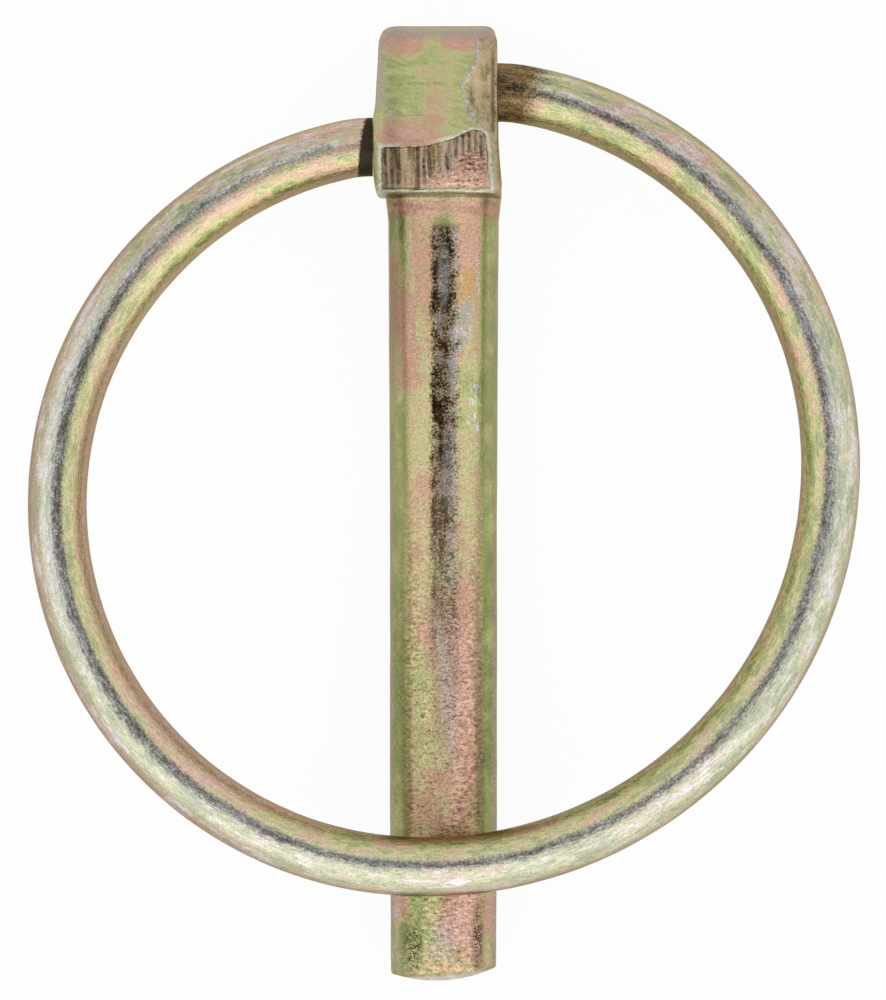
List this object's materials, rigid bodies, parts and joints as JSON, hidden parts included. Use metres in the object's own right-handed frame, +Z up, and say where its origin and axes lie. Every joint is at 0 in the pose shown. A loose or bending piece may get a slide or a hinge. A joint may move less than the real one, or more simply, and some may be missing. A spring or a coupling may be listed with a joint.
{
  "type": "lynch pin",
  "caption": "Headed steel lynch pin with a sprung wire ring that pivots in the head and closes over the shank; plated finish.",
  "frame": {"origin": "middle of the part's footprint, on the surface it lies on", "axes": "+Y along the shank towards the head, +Z up from the pin's back to the ring, +X to the right"},
  "size_m": [0.0462, 0.0532, 0.0095],
  "materials": {
    "plated_pin": "yellow passivated zinc plating with a pink and green sheen, worn at the edges",
    "plated_wire": "yellow passivated zinc plating with a green and pink sheen, worn silver in patches"
  },
  "bodies": {
    "pin": {"pin": "plated_pin"},
    "ring": {"spring_ring": "plated_wire"}
  },
  "joints": [
    {"name": "ring_pivot", "type": "hinge", "parent": "pin", "child": "ring", "pos_m": [0.00301, 0.02293, 0.00469], "axis": [-1, 0, 0], "range_deg": [0, 173.7], "stiffness_Nm_per_rad": 0.1, "springref_deg": -6.3}
  ]
}
